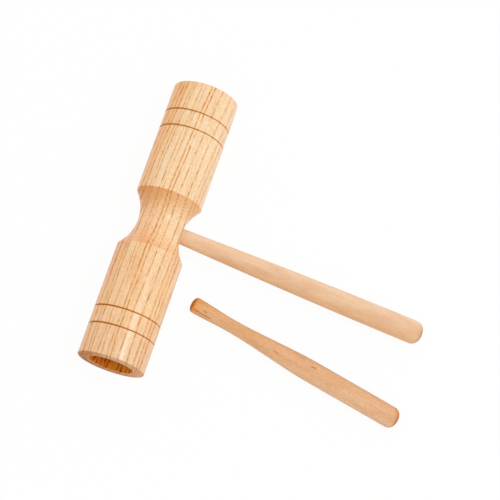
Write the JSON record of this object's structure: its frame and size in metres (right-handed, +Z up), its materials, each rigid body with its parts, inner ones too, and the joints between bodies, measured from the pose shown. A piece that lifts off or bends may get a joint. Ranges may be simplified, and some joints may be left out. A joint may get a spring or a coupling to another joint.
{
  "type": "two-tone wood block",
  "caption": "Turned wood block with a waist and an open resonance chamber of its own depth at each end, on a tapered stick handle, with a loose turned beater.",
  "frame": {"origin": "on the table below the middle of the set's box", "axes": "+Z up from the table, +Y along the tone block's axis towards the shallow chamber, +X the way the handle points"},
  "size_m": [0.2238, 0.2, 0.046],
  "materials": {
    "ash_block": "sanded ash under a thin clear satin coat, with burnt rings",
    "beech_handle": "sanded pale beech, satin",
    "beech_beater": "sanded warm beech, satin"
  },
  "bodies": {
    "instrument": {"tone_block": "ash_block", "handle": "beech_handle"},
    "beater": {"beater": "beech_beater"}
  },
  "joints": [
    {"name": "beater_lift", "type": "slide", "parent": "instrument", "child": "beater", "axis": [0, 0, 1], "range_m": [0, 0.12]}
  ]
}
